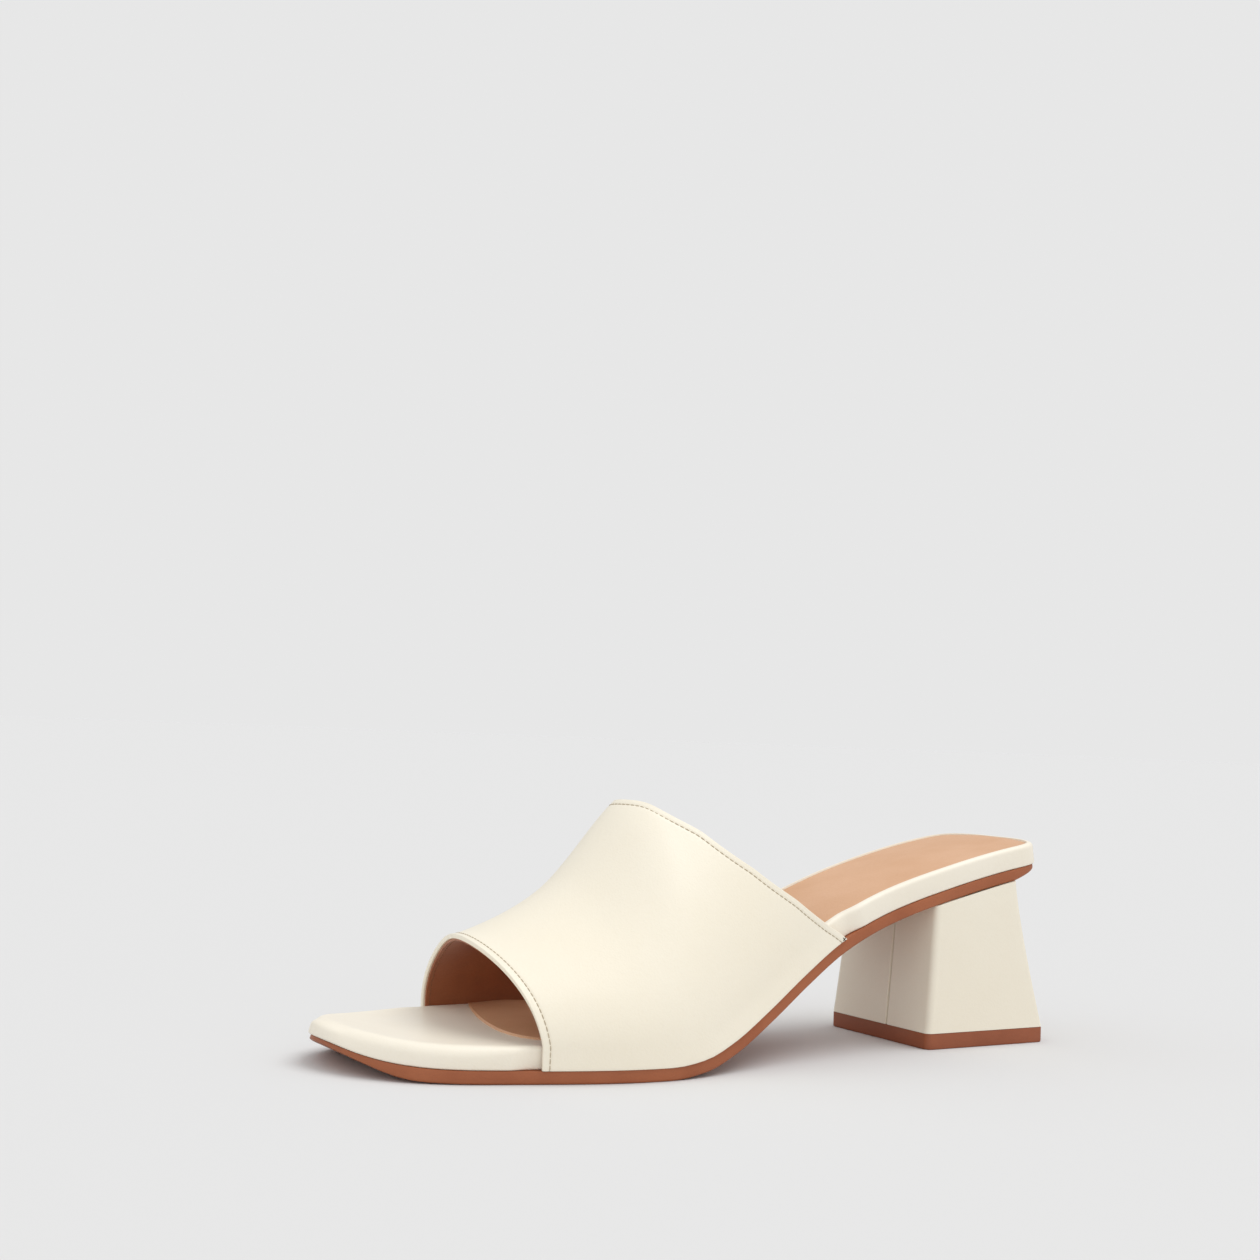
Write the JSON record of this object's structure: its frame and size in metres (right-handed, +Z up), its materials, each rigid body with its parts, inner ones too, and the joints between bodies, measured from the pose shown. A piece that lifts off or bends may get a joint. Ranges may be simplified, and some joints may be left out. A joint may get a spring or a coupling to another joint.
{
  "type": "open-toe block-heel mule",
  "caption": "Slip-on sandal with one broad leather band over the instep, an open rounded-square toe, a wrapped platform and a flared block heel.",
  "frame": {"origin": "centre of the heel tip's underside, on the floor", "axes": "+X from heel to toe, +Y to the wearer's left (the outer side of this left shoe), +Z up"},
  "size_m": [0.237, 0.0853, 0.074],
  "materials": {
    "outsole": "matt reddish-brown sheet sole",
    "platform": "smooth cream leather wrapped over a board",
    "sock_lining": "smooth tan lining leather",
    "vamp": "smooth cream leather with a tan lining",
    "heel_block": "smooth cream leather wrapped over a block",
    "heel_tip": "matt reddish-brown top piece"
  },
  "bodies": {
    "root": {"outsole": "outsole", "platform": "platform", "sock_lining": "sock_lining", "vamp": "vamp", "heel_block": "heel_block", "heel_tip": "heel_tip"}
  },
  "joints": []
}
